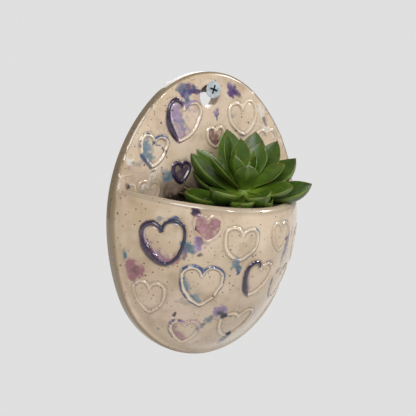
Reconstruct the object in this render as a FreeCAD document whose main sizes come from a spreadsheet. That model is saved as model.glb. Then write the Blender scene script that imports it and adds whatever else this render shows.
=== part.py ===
# Hanging wall vase: a stoneware wall pocket hung on a screw and planted with a succulent.
# Frame: the screw's axis meets the wall plane at the origin, the front looks along -Y, Z is up.
import FreeCAD, Part
import Sketcher
import math
import os
from FreeCAD import Placement, Rotation, Vector

doc = FreeCAD.newDocument("hanging_wall_vase")

# Driving sizes in millimetres
SIZES = [
    ("slab_width", 127.0),
    ("slab_height", 160.0),
    ("crown_share", 0.503),
    ("slab_thickness", 7.5),
    ("crown_round_share", 0.78),
    ("foot_round_share", 0.945),
    ("slab_front_round", 2.2),
    ("slab_back_round", 1.0),
    ("hole_diameter", 12.4),
    ("hole_drop", 13.5),
    ("hole_round", 0.9),
    ("hang_clearance", 0.3),
    ("pocket_reach", 46.5),
    ("pocket_wall_thickness", 5.0),
    ("pocket_inset", 2.2),
    ("flatness_share", 0.725),
    ("rim_height", 11.8),
    ("rim_sag_radius", 625.0),
    ("rim_low_side", 34.0),
    ("rim_fall_share", 0.079),
    ("lip_round", 2.0),
    ("heart_width", 20.0),
    ("ridge_width", 2.4),
    ("ridge_height", 0.8),
    ("ridge_root", 2.5),
    ("head_diameter", 9.6),
    ("head_edge", 0.5),
    ("head_cone", 2.8),
    ("head_stand_off", 4.0),
    ("neck_diameter", 4.0),
    ("thread_diameter", 5.0),
    ("thread_length", 32.0),
    ("tip_length", 6.0),
    ("tip_flat", 0.6),
    ("recess_span", 5.2),
    ("recess_width", 1.1),
    ("recess_depth", 2.0),
    ("soil_drop", 9.0),
    ("soil_clearance", 0.3),
    ("root_clearance", 0.3),
    ("plant_side_shift", 9.9),
    ("plant_front_share", 0.42),
    ("root_depth", 14.0),
    ("root_end_radius", 1.6),
    ("stem_foot_radius", 4.4),
    ("crown_gap", 8.0),
    ("crown_foot_radius", 5.4),
    ("crown_length", 16.0),
    ("crown_top_radius", 1.2),
    ("leaf_length_share", 0.73),
    ("leaf_width_share", 0.441),
    ("leaf_thickness_share", 0.267),
    ("leaf_root_sink", 1.5),
    ("cut_overrun", 10.0),
    ("fuzz", 0.01),
]
sheet = doc.addObject("Spreadsheet::Sheet", "sizes")
for row, (alias, value) in enumerate(SIZES, start=1):
    sheet.set("A%d" % row, alias)
    sheet.set("B%d" % row, repr(value))
    sheet.setAlias("B%d" % row, alias)
doc.recompute()


def size(alias):
    return float(sheet.get(alias))


# Places that several sub-parts share
HALF_WIDTH = size("slab_width") / 2
SLAB_CROWN = size("crown_share") * size("slab_height")
SLAB_FOOT = size("slab_height") - SLAB_CROWN
FRONT_Y = -size("slab_thickness")
HOLE_RADIUS = size("hole_diameter") / 2
HOLE_Z = size("neck_diameter") / 2 + size("hang_clearance") - HOLE_RADIUS
WIDEST_Z = HOLE_Z + size("hole_drop") - SLAB_CROWN
RIM_Z = WIDEST_Z + size("rim_height")
SOIL_Z = RIM_Z - size("soil_drop")
PLANT_X = size("plant_side_shift")
PLANT_Y = FRONT_Y - size("plant_front_share") * size("pocket_reach")
CROWN_Z = SOIL_Z + size("crown_gap")
LEAF_LENGTH = size("leaf_length_share") * size("pocket_reach")
LEAF_WIDTH = size("leaf_width_share") * LEAF_LENGTH
LEAF_THICKNESS = size("leaf_thickness_share") * LEAF_WIDTH

# The pocket is a slice of an ellipsoid whose centre lies behind the slab
SECTION_SHARE = math.sqrt(1 - size("flatness_share") ** 2)
BULGE_X = (HALF_WIDTH - size("pocket_inset")) / SECTION_SHARE
BULGE_Y = size("pocket_reach") / (1 - size("flatness_share"))
BULGE_Z = (SLAB_FOOT - size("pocket_inset")) / SECTION_SHARE
BULGE_CENTRE = Vector(0, FRONT_Y + size("flatness_share") * BULGE_Y, WIDEST_Z)

UP = Vector(0, 0, 1)
INTO_WALL = Rotation(UP, Vector(0, 1, 0))

CROWN_CELL = "sizes.slab_height * sizes.crown_share"
FOOT_CELL = "sizes.slab_height * (1 - sizes.crown_share)"
CROWN_ROUND_CELL = "sizes.slab_width / 2 * sizes.crown_round_share"
FOOT_ROUND_CELL = "sizes.slab_width / 2 * sizes.foot_round_share"
SECTION_CELL = "sqrt(1 - sizes.flatness_share * sizes.flatness_share)"
WALL_CELL = " - sizes.pocket_wall_thickness"
RIDGE_CELL = " + sizes.ridge_height"
RECESS_TURNS = (20, 110)
LEAF_BEND = 14

# Each heart: across and up as shares of the slab's half width and of its crown or foot,
# then its width and drop as shares of heart_width, and its turn in degrees
SLAB_HEART_SHARES = [
    (-0.292, 0.633, 1.10, 0.86, -12),
    (-0.594, 0.450, 0.86, 0.62, -10),
    (0.378, 0.636, 0.98, 0.68, 4),
    (0.070, 0.528, 0.58, 0.40, 0),
    (0.643, 0.473, 0.69, 0.47, -3),
    (-0.304, 0.299, 0.57, 0.44, -3),
    (-0.640, 0.165, 0.70, 0.48, -7),
]
POCKET_HEART_SHARES = [
    (-0.715, -0.150, 1.24, 0.89, 5),
    (-0.445, -0.045, 0.71, 0.60, -4),
    (-0.171, -0.155, 0.98, 0.66, -9),
    (-0.417, -0.452, 1.14, 0.92, -4),
    (0.050, -0.413, 0.94, 0.80, -11),
    (-0.715, -0.535, 0.90, 0.74, -7),
    (-0.369, -0.800, 0.80, 0.76, -3),
    (0.040, -0.765, 1.05, 0.86, 6),
    (0.290, -0.130, 0.84, 0.58, -1),
    (0.420, -0.490, 0.96, 0.76, 8),
    (0.690, -0.240, 1.00, 0.72, 6),
]

# Leaf sections from root to tip: along the leaf, then shares of its width and thickness
LEAF_SECTION_SHARES = [
    (0.0, 0.34, 0.50),
    (0.18, 0.46, 0.62),
    (0.42, 0.82, 0.90),
    (0.66, 1.0, 1.0),
    (0.85, 0.78, 0.84),
    (0.95, 0.38, 0.50),
    (1.0, 0.06, 0.12),
]

# Each leaf: azimuth and rise in degrees, its length, width and root height as shares of
# LEAF_LENGTH, LEAF_WIDTH and crown_length
LEAF_ROWS = [
    (-174, -2, 0.79, 0.80, 0.02),
    (-83, -1, 0.48, 0.80, 0.02),
    (-132, -1, 0.61, 0.93, 0.08),
    (146, 29, 0.80, 0.70, 0.17),
    (179, 7, 1.05, 0.98, 0.13),
    (-33, 11, 1.00, 1.00, 0.13),
    (-9, 32, 1.00, 1.00, 0.22),
    (168, 39, 1.06, 0.76, 0.27),
    (-96, 2, 0.55, 0.93, 0.21),
    (-156, 9, 0.90, 0.90, 0.24),
    (-60, 7, 0.76, 0.93, 0.33),
    (91, 71, 1.05, 0.93, 0.27),
    (144, 44, 0.93, 0.90, 0.37),
    (37, 55, 1.04, 0.93, 0.43),
    (12, 46, 1.05, 0.93, 0.32),
    (-34, 34, 0.69, 0.80, 0.43),
    (-173, 38, 0.85, 0.80, 0.46),
    (134, 77, 0.88, 0.75, 0.47),
    (79, 86, 0.71, 0.70, 0.60),
    (15, 61, 0.72, 0.80, 0.57),
    (-117, 62, 0.47, 0.77, 0.41),
    (-161, 69, 0.52, 0.62, 0.56),
    (157, 81, 0.53, 0.50, 0.67),
    (-33, 74, 0.42, 0.53, 0.66),
    (23, 62, 0.50, 0.38, 0.72),
    (150, 85, 0.31, 0.33, 0.84),
    (-60, 78, 0.22, 0.33, 0.88),
    (30, 87, 0.22, 0.27, 0.94),
]


def named(kind, label):
    obj = doc.addObject(kind, label)
    obj.Label = label
    return obj


def primitive(kind, label, base, rotation, **expressions):
    obj = named("Part::" + kind, label)
    obj.Placement = Placement(base, rotation)
    for name, expression in expressions.items():
        obj.setExpression(name, expression)
    return obj


def feature(label, shape):
    obj = named("Part::Feature", label)
    obj.Shape = shape
    return obj


def boolean(kind, label, base, tool):
    obj = named("Part::" + kind, label)
    obj.Base = base
    obj.Tool = tool
    return obj


def gathered(label, shapes):
    obj = named("Part::MultiFuse", label)
    obj.Shapes = shapes
    return obj


# The screw: a countersunk head, a smooth neck, and a threaded end drawn at its outside diameter
def make_screw():
    face_y = FRONT_Y - size("head_stand_off")
    edge_y = face_y + size("head_edge")
    head_edge = primitive(
        "Cylinder", "head_edge_disc", Vector(0, face_y, 0), INTO_WALL,
        Radius="sizes.head_diameter / 2", Height="sizes.head_edge",
    )
    head_cone = primitive(
        "Cone", "head_cone_body", Vector(0, edge_y, 0), INTO_WALL,
        Radius1="sizes.head_diameter / 2", Radius2="sizes.neck_diameter / 2", Height="sizes.head_cone",
    )
    neck = primitive(
        "Cylinder", "neck_rod", Vector(0, edge_y, 0), INTO_WALL,
        Radius="sizes.neck_diameter / 2",
        Height="sizes.slab_thickness + sizes.head_stand_off - sizes.head_edge",
    )
    thread = primitive(
        "Cylinder", "thread_rod", Vector(0, 0, 0), INTO_WALL,
        Radius="sizes.thread_diameter / 2", Height="sizes.thread_length",
    )
    tip = primitive(
        "Cone", "screw_tip", Vector(0, size("thread_length"), 0), INTO_WALL,
        Radius1="sizes.thread_diameter / 2", Radius2="sizes.tip_flat / 2", Height="sizes.tip_length",
    )
    blank = gathered("screw_blank", [head_edge, head_cone, neck, thread, tip])
    slots = []
    for index, turn in enumerate(RECESS_TURNS):
        spin = Rotation(Vector(0, 1, 0), turn)
        corner = Vector(-size("recess_span") / 2, face_y - size("cut_overrun"), -size("recess_width") / 2)
        slots.append(primitive(
            "Box", "recess_slot_%d" % (index + 1), spin.multVec(corner), spin,
            Length="sizes.recess_span", Width="sizes.recess_depth + sizes.cut_overrun",
            Height="sizes.recess_width",
        ))
    return boolean("Cut", "wall_screw", blank, gathered("recess_cross", slots))


# The slab: one egg-shaped plate from six tangent arcs, with the hanging hole near its crown
def make_plate():
    body = named("PartDesign::Body", "slab_plate")
    planes = {origin.Role: origin for origin in body.Origin.OriginFeatures}
    sketch = body.newObject("Sketcher::SketchObject", "slab_outline")
    sketch.AttachmentSupport = [(planes["XZ_Plane"], "")]
    sketch.MapMode = "FlatFace"
    ends = []
    for reach, share in ((SLAB_CROWN, size("crown_round_share")), (SLAB_FOOT, size("foot_round_share"))):
        end_radius = share * HALF_WIDTH
        rise = reach - end_radius
        side_radius = (HALF_WIDTH ** 2 + rise ** 2 - end_radius ** 2) / (2 * (HALF_WIDTH - end_radius))
        ends.append((rise, end_radius, side_radius, math.atan2(rise, side_radius - HALF_WIDTH)))
    (top, top_radius, top_side, top_turn), (low, low_radius, low_side, low_turn) = ends
    half_turn = math.pi
    arcs = [
        (Vector(0, top, 0), top_radius, top_turn, half_turn - top_turn),
        (Vector(HALF_WIDTH - top_side, 0, 0), top_side, 0, top_turn),
        (Vector(top_side - HALF_WIDTH, 0, 0), top_side, half_turn - top_turn, half_turn),
        (Vector(low_side - HALF_WIDTH, 0, 0), low_side, half_turn, half_turn + low_turn),
        (Vector(0, -low, 0), low_radius, half_turn + low_turn, 2 * half_turn - low_turn),
        (Vector(HALF_WIDTH - low_side, 0, 0), low_side, -low_turn, 0),
    ]
    for centre, radius, start, stop in arcs:
        sketch.addGeometry(Part.ArcOfCircle(Part.Circle(centre, UP, radius), start, stop), False)
    crown, right_top, left_top, left_low, foot, right_low = range(len(arcs))
    start, end, middle = 1, 2, 3
    for first, first_end, second, second_end in (
        (right_top, end, crown, start), (crown, end, left_top, start), (left_top, end, left_low, start),
        (left_low, end, foot, start), (foot, end, right_low, start), (right_low, end, right_top, start),
    ):
        sketch.addConstraint(Sketcher.Constraint("Tangent", first, first_end, second, second_end))
    across_axis, up_axis = -1, -2
    for arc in (right_top, left_top, left_low, right_low):
        sketch.addConstraint(Sketcher.Constraint("PointOnObject", arc, middle, across_axis))
    for arc in (crown, foot):
        sketch.addConstraint(Sketcher.Constraint("PointOnObject", arc, middle, up_axis))
    sketch.addConstraint(Sketcher.Constraint("Equal", right_top, left_top))
    hole_up = SLAB_CROWN - size("hole_drop")
    hole = sketch.addGeometry(Part.Circle(Vector(0, hole_up, 0), UP, HOLE_RADIUS))
    sketch.addConstraint(Sketcher.Constraint("PointOnObject", hole, middle, up_axis))
    origin = (-1, 1)
    rules = [
        (("Radius", crown, top_radius), CROWN_ROUND_CELL),
        (("DistanceY",) + origin + (crown, middle, top), CROWN_CELL + " - " + CROWN_ROUND_CELL),
        (("Radius", foot, low_radius), FOOT_ROUND_CELL),
        (("DistanceY", foot, middle) + origin + (low,),
         "sizes.slab_height - " + CROWN_CELL + " - " + FOOT_ROUND_CELL),
        (("DistanceX",) + origin + (right_top, start, HALF_WIDTH), "sizes.slab_width / 2"),
        (("Radius", hole, HOLE_RADIUS), "sizes.hole_diameter / 2"),
        (("DistanceY",) + origin + (hole, middle, hole_up), CROWN_CELL + " - sizes.hole_drop"),
    ]
    for rule, expression in rules:
        index = sketch.addConstraint(Sketcher.Constraint(*rule))
        sketch.setExpression("Constraints[%d]" % index, expression)
    pad = body.newObject("PartDesign::Pad", "slab_pad")
    pad.Profile = sketch
    pad.setExpression("Length", "sizes.slab_thickness")
    doc.recompute()
    pad.Reversed = pad.Shape.BoundBox.YMax > -FRONT_Y / 2
    doc.recompute()
    last = pad
    for label, pick, cell in (
        ("slab_front_edge", lambda edge: is_outline(edge, FRONT_Y), "sizes.slab_front_round"),
        ("slab_back_edge", lambda edge: is_outline(edge, 0), "sizes.slab_back_round"),
        ("hole_edges", is_hole, "sizes.hole_round"),
    ):
        names = ["Edge%d" % (i + 1) for i, edge in enumerate(last.Shape.Edges) if pick(edge)]
        fillet = body.newObject("PartDesign::Fillet", label)
        fillet.Base = (last, names)
        fillet.setExpression("Radius", cell)
        doc.recompute()
        last = fillet
    body.Placement = Placement(Vector(0, 0, WIDEST_Z), Rotation())
    return body


def is_level(edge, y):
    box = edge.BoundBox
    return abs(box.YMin - y) < size("fuzz") and abs(box.YMax - y) < size("fuzz")


def is_hole(edge):
    round_edge = hasattr(edge.Curve, "Radius") and abs(edge.Curve.Radius - HOLE_RADIUS) < size("fuzz")
    return round_edge and (is_level(edge, 0) or is_level(edge, FRONT_Y))


def is_outline(edge, y):
    return is_level(edge, y) and not is_hole(edge)


# The pocket: an ellipsoid shell, cut off at the sagging rim and at the slab's face
def bulge(label, less):
    return primitive(
        "Ellipsoid", label, BULGE_CENTRE, Rotation(),
        Radius1="(" + FOOT_CELL + " - sizes.pocket_inset) / " + SECTION_CELL + less,
        Radius2="(sizes.slab_width / 2 - sizes.pocket_inset) / " + SECTION_CELL + less,
        Radius3="sizes.pocket_reach / (1 - sizes.flatness_share)" + less,
    )


def make_pocket_shell():
    shell = boolean("Cut", "pocket_shell", bulge("pocket_outside", ""), bulge("pocket_inside", WALL_CELL))
    fall = Vector(0, -1, -size("rim_fall_share")).normalize()
    crest = size("rim_sag_radius") / abs(fall.y)
    middle = Vector(size("rim_low_side"), FRONT_Y, RIM_Z + crest)
    cutter = primitive(
        "Cylinder", "rim_cutter", middle - fall * BULGE_Y * 2, Rotation(UP, fall),
        Radius="sizes.rim_sag_radius", Height="4 * sizes.pocket_reach / (1 - sizes.flatness_share)",
    )
    open_shell = boolean("Cut", "open_shell", shell, cutter)
    front = named("Part::Box", "front_space")
    front.Length = 2 * BULGE_X
    front.Width = BULGE_Y
    front.Height = 2 * BULGE_Z
    front.Placement.Base = Vector(-BULGE_X, FRONT_Y - BULGE_Y, WIDEST_Z - BULGE_Z)
    doc.recompute()
    lip = named("Part::Fillet", "rounded_lip")
    lip.Base = open_shell
    rim_edges = [i + 1 for i, edge in enumerate(open_shell.Shape.Edges) if is_rim(edge, middle, fall)]
    lip.Edges = [(i, size("lip_round"), size("lip_round")) for i in rim_edges]
    return boolean("Common", "pocket_bowl", lip, front), front


def is_rim(edge, middle, fall):
    distances = []
    for share in (0.2, 0.5, 0.8):
        point = edge.valueAt(edge.FirstParameter + share * (edge.LastParameter - edge.FirstParameter))
        out = point - middle
        distances.append((out - fall * out.dot(fall)).Length)
    return all(abs(distance - size("rim_sag_radius")) < size("fuzz") for distance in distances)


# Heart ridges: two round lobes over two long side arcs, drawn once outside and once inside the ridge
def heart_wire(half_width, drop, grow):
    lobe = half_width / 2
    side = (half_width ** 2 + drop ** 2) / (2 * half_width)
    top = drop / 2
    shoulder = half_width + grow
    tip_y = top - math.sqrt((side + grow) ** 2 - (side - half_width) ** 2)
    tip = Vector(0, tip_y, 0)
    sweep = math.atan2(top - tip_y, side - half_width) / 2
    flank_x = half_width - side + (side + grow) * math.cos(sweep)
    flank_y = top - (side + grow) * math.sin(sweep)
    notch_y = top + math.sqrt(max((lobe + grow) ** 2 - lobe ** 2, 0))
    notch_x = max(-grow, 0)
    crest = top + lobe + grow
    edges = [
        Part.Arc(Vector(notch_x, notch_y, 0), Vector(lobe, crest, 0), Vector(shoulder, top, 0)),
        Part.Arc(Vector(shoulder, top, 0), Vector(flank_x, flank_y, 0), tip),
        Part.Arc(tip, Vector(-flank_x, flank_y, 0), Vector(-shoulder, top, 0)),
        Part.Arc(Vector(-shoulder, top, 0), Vector(-lobe, crest, 0), Vector(-notch_x, notch_y, 0)),
    ]
    if grow < 0:
        edges.append(Part.Arc(Vector(grow, top, 0), Vector(0, top + grow, 0), Vector(-grow, top, 0)))
    return Part.Wire([edge.toShape() for edge in edges])


def heart_ridge(width_share, drop_share, height):
    half_width = size("heart_width") * width_share / 2
    drop = size("heart_width") * drop_share
    half_ridge = size("ridge_width") / 2
    outside = Part.Face(heart_wire(half_width, drop, half_ridge))
    ring = outside.cut(Part.Face(heart_wire(half_width, drop, -half_ridge)))
    return ring.extrude(Vector(0, 0, size("ridge_root") + height))


# A ridge starts under the clay's surface, faces along its normal and turns in its plane
def ridge_placement(surface, normal, turn):
    right = UP.cross(normal).normalize()
    facing = Rotation(right, normal.cross(right), normal, "ZXY").multiply(Rotation(UP, turn))
    return Placement(surface - normal * size("ridge_root"), facing)


def make_slab_hearts():
    hearts = []
    for index, (across, up, width, drop, turn) in enumerate(SLAB_HEART_SHARES):
        place = Vector(across * HALF_WIDTH, FRONT_Y, WIDEST_Z + up * SLAB_CROWN)
        ridge = feature("slab_heart_%02d" % (index + 1), heart_ridge(width, drop, size("ridge_height")))
        ridge.Placement = ridge_placement(place, Vector(0, -1, 0), turn)
        hearts.append(ridge)
    return hearts


def make_pocket_hearts(front):
    hearts = []
    for index, (across, up, width, drop, turn) in enumerate(POCKET_HEART_SHARES):
        x = across * HALF_WIDTH
        z = up * SLAB_FOOT
        depth = BULGE_Y * math.sqrt(1 - (x / BULGE_X) ** 2 - (z / BULGE_Z) ** 2)
        out = Vector(x, -depth, z)
        normal = Vector(out.x / BULGE_X ** 2, out.y / BULGE_Y ** 2, out.z / BULGE_Z ** 2).normalize()
        ridge = feature("pocket_heart_%02d" % (index + 1), heart_ridge(width, drop, size("ridge_root")))
        ridge.Placement = ridge_placement(BULGE_CENTRE + out, normal, turn)
        hearts.append(ridge)
    skin = boolean("Common", "ridge_skin", bulge("ridge_outside", RIDGE_CELL), front)
    return boolean("Common", "pocket_ridges", gathered("pocket_heart_prisms", hearts), skin)


# The stem: a root that tapers down into the soil, and a cone that the leaves grow from
def make_stem():
    root = primitive(
        "Cone", "stem_root", Vector(PLANT_X, PLANT_Y, SOIL_Z - size("root_depth")), Rotation(),
        Radius1="sizes.root_end_radius", Radius2="sizes.stem_foot_radius",
        Height="sizes.root_depth + sizes.crown_gap",
    )
    crown = primitive(
        "Cone", "stem_crown", Vector(PLANT_X, PLANT_Y, CROWN_Z), Rotation(),
        Radius1="sizes.crown_foot_radius", Radius2="sizes.crown_top_radius", Height="sizes.crown_length",
    )
    return gathered("plant_stem", [root, crown])


# Soil fills the pocket to below the rim, with room for the root
def make_soil():
    inside = bulge("soil_bulge", WALL_CELL + " - sizes.soil_clearance")
    space = named("Part::Box", "soil_space")
    space.Length = 2 * HALF_WIDTH
    space.Width = BULGE_Y
    space.Height = SOIL_Z - WIDEST_Z + SLAB_FOOT
    back_y = FRONT_Y - size("soil_clearance")
    space.Placement.Base = Vector(-HALF_WIDTH, back_y - BULGE_Y, WIDEST_Z - SLAB_FOOT)
    root_hole = primitive(
        "Cone", "root_hole", Vector(PLANT_X, PLANT_Y, SOIL_Z - size("root_depth")), Rotation(),
        Radius1="sizes.root_end_radius + sizes.root_clearance",
        Radius2="sizes.stem_foot_radius + sizes.root_clearance",
        Height="sizes.root_depth + sizes.crown_gap",
    )
    return boolean("Cut", "potting_soil", boolean("Common", "soil_fill", inside, space), root_hole)


# Leaves: lofts through ovals along a spine that bends upward toward the tip
def leaf_loft(length, width, thickness):
    sections = []
    previous = 0
    x = -size("leaf_root_sink")
    z = 0
    for along, breadth, depth in LEAF_SECTION_SHARES:
        bend = math.radians(LEAF_BEND * (2 * along - 1))
        step = (along - previous) * (length + size("leaf_root_sink"))
        half_bend = math.radians(LEAF_BEND * (along + previous - 1))
        x += step * math.cos(half_bend)
        z += step * math.sin(half_bend)
        previous = along
        along_spine = Vector(math.cos(bend), 0, math.sin(bend))
        oval = Part.Ellipse(Vector(0, 0, 0), breadth * width / 2, depth * thickness / 2)
        wire = Part.Wire(oval.toShape())
        wire.Placement = Placement(Vector(x, 0, z), Rotation(Vector(0, 1, 0), UP, along_spine, "ZXY"))
        sections.append(wire)
    return Part.makeLoft(sections, True, False)


def make_leaves(stem):
    leaves = []
    taper = (size("crown_foot_radius") - size("crown_top_radius")) / size("crown_length")
    for index, (azimuth, rise, length, width, height) in enumerate(LEAF_ROWS):
        z = height * size("crown_length")
        radius = size("crown_foot_radius") - taper * z
        turn = Rotation(UP, azimuth)
        root = Vector(PLANT_X, PLANT_Y, CROWN_Z + z) + turn.multVec(Vector(radius, 0, 0))
        loft = leaf_loft(length * LEAF_LENGTH, width * LEAF_WIDTH, width * LEAF_THICKNESS)
        blade = feature("leaf_blade_%02d" % (index + 1), loft)
        blade.Placement = Placement(root, turn.multiply(Rotation(Vector(0, 1, 0), -rise)))
        leaves.append(boolean("Cut", "leaf_%02d" % (index + 1), blade, stem))
    return leaves


screw = make_screw()
back_slab = gathered("back_slab", [make_plate()] + make_slab_hearts())
bowl, front_space = make_pocket_shell()
pocket_wall = gathered("pocket_wall", [bowl, make_pocket_hearts(front_space)])
plant_stem = make_stem()
potting_soil = make_soil()
nodes = [screw, back_slab, pocket_wall, potting_soil, plant_stem] + make_leaves(plant_stem)
doc.recompute()

for obj in doc.Objects:
    if "Invalid" in obj.State or "Error" in obj.State:
        raise RuntimeError("%s did not recompute: %s" % (obj.Label, obj.State))
for node in nodes:
    if node.Shape.isNull() or not node.Shape.isValid():
        raise RuntimeError("%s has no valid shape" % node.Label)

os.makedirs("parts", exist_ok=True)
for node in nodes:
    node.Shape.exportStep("parts/%s.step" % node.Label)
    print(node.Label, len(node.Shape.Solids), round(node.Shape.Volume))
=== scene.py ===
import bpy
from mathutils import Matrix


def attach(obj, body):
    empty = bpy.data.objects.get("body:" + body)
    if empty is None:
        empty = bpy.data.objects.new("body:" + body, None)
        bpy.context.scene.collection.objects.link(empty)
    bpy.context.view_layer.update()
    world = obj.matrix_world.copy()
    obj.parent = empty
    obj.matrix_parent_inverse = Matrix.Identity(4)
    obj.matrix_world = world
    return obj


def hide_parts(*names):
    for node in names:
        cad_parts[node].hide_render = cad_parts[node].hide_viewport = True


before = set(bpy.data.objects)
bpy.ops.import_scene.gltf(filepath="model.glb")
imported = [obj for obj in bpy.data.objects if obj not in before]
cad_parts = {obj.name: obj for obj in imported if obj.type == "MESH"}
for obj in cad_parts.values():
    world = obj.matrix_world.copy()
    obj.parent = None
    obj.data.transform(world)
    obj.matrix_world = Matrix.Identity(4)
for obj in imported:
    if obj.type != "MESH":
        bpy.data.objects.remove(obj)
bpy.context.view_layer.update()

import math

import bmesh
import bpy
import numpy as np
from mathutils import Matrix, Quaternion, Vector
from mathutils.geometry import delaunay_2d_cdt

MM = 0.001

# The shape's sizes in millimetres, as in the part's source
HALF_WIDTH = 63.5
SLAB_CROWN = 80.48
SLAB_FOOT = 79.52
CROWN_ARC_SHARE = 0.78
FOOT_ARC_SHARE = 0.945
THICKNESS = 7.5
FRONT_Y = -THICKNESS
HOLE_RADIUS = 6.2
HOLE_Z = -3.9
WIDEST_Z = HOLE_Z + 13.5 - SLAB_CROWN
RIM_Z = WIDEST_Z + 11.8
SAG_RADIUS, SAG_MIDDLE, SAG_TILT = 625, 34, 0.9969
FRONT_FALL = 0.079
SOIL_Z = RIM_Z - 9
FLATNESS = 0.725
REACH = 46.5
WALL = 5.0
INSET = 2.2
SECTION = math.sqrt(1 - FLATNESS ** 2)
BULGE = np.array(
    [(HALF_WIDTH - INSET) / SECTION, REACH / (1 - FLATNESS), (SLAB_FOOT - INSET) / SECTION]
)
BULGE_Y = FRONT_Y + FLATNESS * BULGE[1]
PLANT = np.array([9.9, FRONT_Y - 0.42 * REACH, SOIL_Z + 8])

# Rounds and fillets of the clay in millimetres
FRONT_ROUND, BACK_ROUND, HOLE_ROUND, LIP_ROUND = 2.2, 1.0, 0.9, 2.3
FILLET = 4.6
FLARE_REACH, FLARE_SLOPE = 2.6, 1.8

# Hearts and drops: full size, half ridge, and how deep they reach into a curved surface
HEART = 20.0
RIDGE = 0.82
HEART_DEPTH, DROP_DEPTH = 9, 14

# Sums of red, green and blue under which a colour is a bold stroke, and under which it dyes a ridge
DARK, PALE = 0.3, 1.5


def unit(vectors):
    return vectors / np.maximum(np.linalg.norm(vectors, axis=-1, keepdims=True), 1e-6)


# A soft step from 0 at the low value to 1 at the high one
def smooth(value, low, high):
    share = np.clip((value - low) / (high - low), 0, 1)
    return share * share * (3 - 2 * share)


# A repeatable number from 0 to 1 for each cell of a grid
def lattice(ix, iy, iz, seed):
    mixed = (ix * 73856093) ^ (iy * 19349663) ^ (iz * 83492791) ^ (seed * 2654435761)
    mixed = mixed & 0xFFFFFFFF
    mixed = ((mixed ^ (mixed >> 15)) * 2246822519) & 0xFFFFFFFF
    mixed = ((mixed ^ (mixed >> 13)) * 3266489917) & 0xFFFFFFFF
    return ((mixed ^ (mixed >> 16)) & 0xFFFF) / 65535.0


# Soft noise from 0 to 1 with features of the given size
def grain(points, feature, seed):
    scaled = np.asarray(points, float) / feature + 1000.5
    low = np.floor(scaled).astype(np.int64)
    part = scaled - low
    part = part * part * (3 - 2 * part)
    total = 0
    for corner in np.ndindex(2, 2, 2):
        weight = np.prod(np.where(corner, part, 1 - part), axis=1)
        total = total + weight * lattice(*(low + corner).T, seed)
    return total


# Slab outline: six tangent arcs as centre x, centre z, radius, start and end angle
def outline_arcs():
    arcs = []
    for sign, start, reach, share in (
        (1, 0, SLAB_CROWN, CROWN_ARC_SHARE), (-1, math.pi, SLAB_FOOT, FOOT_ARC_SHARE),
    ):
        radius = share * HALF_WIDTH
        rise = reach - radius
        side = (HALF_WIDTH ** 2 + rise ** 2 - radius ** 2) / (2 * (HALF_WIDTH - radius))
        turn = math.atan2(rise, side - HALF_WIDTH)
        centre, stop = sign * (HALF_WIDTH - side), start + math.pi
        arcs += [
            (centre, 0, side, start, start + turn),
            (0, sign * rise, radius, start + turn, stop - turn),
            (-centre, 0, side, stop - turn, stop),
        ]
    return arcs


# Unit vectors at even turns from a start up to, and without, a stop
def fan(start, stop, count):
    turns = np.linspace(start, stop, count, endpoint=False)
    return np.stack([np.cos(turns), np.sin(turns)], 1)


def outline_points(spacing):
    points, normals = [], []
    for cx, cz, radius, start, stop in outline_arcs():
        normals.append(fan(start, stop, max(2, int(radius * (stop - start) / spacing))))
        points.append(radius * normals[-1] + (cx, cz))
    return np.concatenate(points), np.concatenate(normals)


# Distance outside the slab's outline, negative within, near the edge
def outline_distance(x, z):
    distance = np.full(len(x), -20.0)
    for cx, cz, radius, start, stop in outline_arcs():
        turn = np.arctan2(z - cz, x - cx) % (2 * math.pi)
        within = (turn >= start - 1e-6) & (turn <= stop + 1e-6)
        reach = np.hypot(x - cx, z - cz) - radius
        distance = np.where(within, np.maximum(distance, reach), distance)
    return distance


# How far a point of the clay is on the slab's round edge, from 0 to 1
def on_side(points):
    return smooth(outline_distance(points[:, 0], points[:, 2] - WIDEST_Z), -1.9, -0.6)


# Hearts: across and up as shares of the slab's half width and crown or foot, width and drop as
# shares of HEART, turn in degrees; then the ridge's colours left and right, the fill's colour and
# strength, how much wider the left limb is, and how clearly the heart stands out
CREAM = (0.82, 0.69, 0.50)
TAN = (0.66, 0.51, 0.34)
PURPLE = (0.026, 0.007, 0.040)
MAGENTA = (0.25, 0.07, 0.15)
VIOLET = (0.11, 0.055, 0.20)
LILAC = (0.36, 0.24, 0.42)
ROSE = (0.33, 0.125, 0.15)
PINK = (0.62, 0.42, 0.40)
BLUE = (0.055, 0.10, 0.22)
STEEL = (0.15, 0.22, 0.31)
TEAL = (0.09, 0.20, 0.26)
STREAK_HIGHLIGHT = (0.70, 0.64, 0.70)
NAVY = (0.01, 0.014, 0.052)
RUST = (0.19, 0.06, 0.055)
ASH = (0.62, 0.50, 0.52)
GLINT_WHITE = (0.80, 0.76, 0.70)
SLAB_HEARTS = [
    (-0.292, 0.633, 1.1, 0.86, -12, PURPLE, LILAC, LILAC, 0.85, 1, 0.95),
    (-0.594, 0.45, 0.86, 0.62, -10, BLUE, BLUE, TEAL, 0.6, 0.35, 0.9),
    (0.378, 0.636, 0.98, 0.68, 4, CREAM, CREAM, TEAL, 0.22, 0.1, 0.75),
    (0.07, 0.528, 0.58, 0.4, 0, CREAM, CREAM, RUST, 0.95, 0.1, 0.8),
    (0.643, 0.473, 0.69, 0.47, -3, CREAM, STEEL, CREAM, 0, 0.1, 0.75),
    (-0.304, 0.299, 0.57, 0.44, -3, PURPLE, PURPLE, PURPLE, 1.6, 0.5, 0.9),
    (-0.64, 0.165, 0.7, 0.48, -7, CREAM, STEEL, STEEL, 0.2, 0.1, 0.4),
]
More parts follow.
